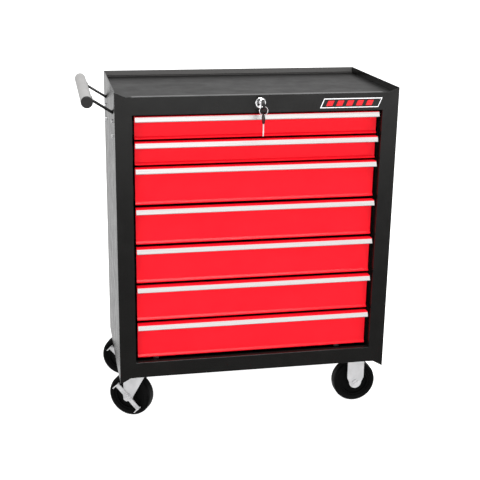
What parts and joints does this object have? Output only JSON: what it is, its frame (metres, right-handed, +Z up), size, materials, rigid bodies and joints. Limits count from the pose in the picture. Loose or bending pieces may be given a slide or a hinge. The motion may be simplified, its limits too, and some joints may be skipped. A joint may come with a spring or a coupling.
{
  "type": "rolling tool cabinet",
  "caption": "Steel roller cabinet: full-width pull drawers on telescopic slides, keyed lock with lock bar, side push handle, swivel and fixed castors",
  "frame": {"origin": "on the floor, under the middle of the overall box (castors, handle and key included)", "axes": "+X to the right seen from the drawers, the drawers face -Y, +Z up"},
  "size_m": [0.684, 0.372, 0.765],
  "materials": {
    "black_paint": "satin",
    "red_paint": "gloss",
    "pull_aluminium": "brushed",
    "zinc": "zinc plated",
    "chrome": "polished",
    "tube_grey": "satin",
    "cap_plastic": "matte",
    "wheel_black": "matte"
  },
  "bodies": {
    "cabinet": {"right_side_panel": "black_paint", "left_side_panel": "black_paint", "back_panel": "black_paint", "top_tray": "black_paint", "front_top_rail": "black_paint", "front_bottom_rail": "black_paint", "bottom_pan": "black_paint", "slide_uprights": "black_paint", "fixed_slide_rails": "black_paint", "lock_housing": "chrome", "handle_tube": "tube_grey", "handle_end_caps": "cap_plastic", "handle_brackets": "black_paint", "handle_screws": "zinc", "castor_bolts": "zinc", "rigid_castor_forks": "zinc", "rigid_castor_axles": "zinc", "swivel_castor_plates": "zinc"},
    "drawer_1_body": {"drawer_1": "red_paint", "drawer_1_pull": "pull_aluminium", "drawer_1_runners": "zinc"},
    "drawer_1_middle": {"drawer_1_middle_rails": "zinc"},
    "drawer_2_body": {"drawer_2": "red_paint", "drawer_2_pull": "pull_aluminium", "drawer_2_runners": "zinc"},
    "drawer_2_middle": {"drawer_2_middle_rails": "zinc"},
    "drawer_3_body": {"drawer_3": "red_paint", "drawer_3_pull": "pull_aluminium", "drawer_3_runners": "zinc"},
    "drawer_3_middle": {"drawer_3_middle_rails": "zinc"},
    "drawer_4_body": {"drawer_4": "red_paint", "drawer_4_pull": "pull_aluminium", "drawer_4_runners": "zinc"},
    "drawer_4_middle": {"drawer_4_middle_rails": "zinc"},
    "drawer_5_body": {"drawer_5": "red_paint", "drawer_5_pull": "pull_aluminium", "drawer_5_runners": "zinc"},
    "drawer_5_middle": {"drawer_5_middle_rails": "zinc"},
    "drawer_6_body": {"drawer_6": "red_paint", "drawer_6_pull": "pull_aluminium", "drawer_6_runners": "zinc"},
    "drawer_6_middle": {"drawer_6_middle_rails": "zinc"},
    "drawer_7_body": {"drawer_7": "red_paint", "drawer_7_pull": "pull_aluminium", "drawer_7_runners": "zinc"},
    "drawer_7_middle": {"drawer_7_middle_rails": "zinc"},
    "lock": {"lock_plug": "chrome", "key": "chrome", "key_grip": "cap_plastic"},
    "key_ring": {"key_ring": "chrome"},
    "lock_bar": {"lock_bar": "zinc"},
    "front_swivel": {"front_swivel_fork": "zinc"},
    "front_left_wheel": {"front_left_wheel": "wheel_black"},
    "front_right_wheel": {"front_right_wheel": "wheel_black"},
    "front_brake": {"front_brake_pedal": "zinc"},
    "rear_swivel": {"rear_swivel_fork": "zinc"},
    "rear_left_wheel": {"rear_left_wheel": "wheel_black"},
    "rear_right_wheel": {"rear_right_wheel": "wheel_black"},
    "rear_brake": {"rear_brake_pedal": "zinc"}
  },
  "joints": [
    {"name": "drawer_1_slide", "type": "slide", "parent": "cabinet", "child": "drawer_1_body", "axis": [0, -1, 0], "range_m": [0, 0.26]},
    {"name": "drawer_1_middle_slide", "type": "slide", "parent": "cabinet", "child": "drawer_1_middle", "axis": [0, -1, 0], "range_m": [0, 0.13]},
    {"name": "drawer_2_slide", "type": "slide", "parent": "cabinet", "child": "drawer_2_body", "axis": [0, -1, 0], "range_m": [0, 0.26]},
    {"name": "drawer_2_middle_slide", "type": "slide", "parent": "cabinet", "child": "drawer_2_middle", "axis": [0, -1, 0], "range_m": [0, 0.13]},
    {"name": "drawer_3_slide", "type": "slide", "parent": "cabinet", "child": "drawer_3_body", "axis": [0, -1, 0], "range_m": [0, 0.26]},
    {"name": "drawer_3_middle_slide", "type": "slide", "parent": "cabinet", "child": "drawer_3_middle", "axis": [0, -1, 0], "range_m": [0, 0.13]},
    {"name": "drawer_4_slide", "type": "slide", "parent": "cabinet", "child": "drawer_4_body", "axis": [0, -1, 0], "range_m": [0, 0.26]},
    {"name": "drawer_4_middle_slide", "type": "slide", "parent": "cabinet", "child": "drawer_4_middle", "axis": [0, -1, 0], "range_m": [0, 0.13]},
    {"name": "drawer_5_slide", "type": "slide", "parent": "cabinet", "child": "drawer_5_body", "axis": [0, -1, 0], "range_m": [0, 0.26]},
    {"name": "drawer_5_middle_slide", "type": "slide", "parent": "cabinet", "child": "drawer_5_middle", "axis": [0, -1, 0], "range_m": [0, 0.13]},
    {"name": "drawer_6_slide", "type": "slide", "parent": "cabinet", "child": "drawer_6_body", "axis": [0, -1, 0], "range_m": [0, 0.26]},
    {"name": "drawer_6_middle_slide", "type": "slide", "parent": "cabinet", "child": "drawer_6_middle", "axis": [0, -1, 0], "range_m": [0, 0.13]},
    {"name": "drawer_7_slide", "type": "slide", "parent": "cabinet", "child": "drawer_7_body", "axis": [0, -1, 0], "range_m": [0, 0.26]},
    {"name": "drawer_7_middle_slide", "type": "slide", "parent": "cabinet", "child": "drawer_7_middle", "axis": [0, -1, 0], "range_m": [0, 0.13]},
    {"name": "lock_turn", "type": "hinge", "parent": "cabinet", "child": "lock", "pos_m": [0.034, -0.149, 0.7381], "axis": [0, 1, 0], "range_deg": [0, 90]},
    {"name": "key_ring_swing", "type": "hinge", "parent": "lock", "child": "key_ring", "pos_m": [0.034, -0.1805, 0.7381], "axis": [1, 0, 0], "range_deg": [-80, 12]},
    {"name": "lock_bar_lift", "type": "slide", "parent": "cabinet", "child": "lock_bar", "axis": [0, 0, 1], "range_m": [0, 0.01131]},
    {"name": "front_swivel_turn", "type": "hinge", "parent": "cabinet", "child": "front_swivel", "pos_m": [-0.222, -0.094, 0.127], "axis": [0, 0, 1], "continuous": true},
    {"name": "front_left_wheel_spin", "type": "hinge", "parent": "front_swivel", "child": "front_left_wheel", "pos_m": [-0.24365, -0.0815, 0.0508], "axis": [0.5, 0.866, 0], "continuous": true},
    {"name": "front_brake_rock", "type": "hinge", "parent": "front_swivel", "child": "front_brake", "pos_m": [-0.24365, -0.0815, 0.0508], "axis": [0.5, 0.866, 0], "range_deg": [-18, 0]},
    {"name": "front_right_wheel_spin", "type": "hinge", "parent": "cabinet", "child": "front_right_wheel", "pos_m": [0.29, -0.094, 0.0508], "axis": [0, 1, 0], "continuous": true},
    {"name": "rear_swivel_turn", "type": "hinge", "parent": "cabinet", "child": "rear_swivel", "pos_m": [-0.222, 0.126, 0.127], "axis": [0, 0, 1], "continuous": true},
    {"name": "rear_left_wheel_spin", "type": "hinge", "parent": "rear_swivel", "child": "rear_left_wheel", "pos_m": [-0.24518, 0.13537, 0.0508], "axis": [0.3746, 0.9272, 0], "continuous": true},
    {"name": "rear_brake_rock", "type": "hinge", "parent": "rear_swivel", "child": "rear_brake", "pos_m": [-0.24518, 0.13537, 0.0508], "axis": [0.3746, 0.9272, 0], "range_deg": [-18, 0]},
    {"name": "rear_right_wheel_spin", "type": "hinge", "parent": "cabinet", "child": "rear_right_wheel", "pos_m": [0.29, 0.126, 0.0508], "axis": [0, 1, 0], "continuous": true}
  ],
  "couplings": [
    {"joint": "drawer_1_middle_slide", "follows": "drawer_1_slide", "ratio": 0.5},
    {"joint": "drawer_2_middle_slide", "follows": "drawer_2_slide", "ratio": 0.5},
    {"joint": "drawer_3_middle_slide", "follows": "drawer_3_slide", "ratio": 0.5},
    {"joint": "drawer_4_middle_slide", "follows": "drawer_4_slide", "ratio": 0.5},
    {"joint": "drawer_5_middle_slide", "follows": "drawer_5_slide", "ratio": 0.5},
    {"joint": "drawer_6_middle_slide", "follows": "drawer_6_slide", "ratio": 0.5},
    {"joint": "drawer_7_middle_slide", "follows": "drawer_7_slide", "ratio": 0.5},
    {"joint": "lock_turn", "follows": "lock_bar_lift", "rad_per_m": 138.83}
  ]
}
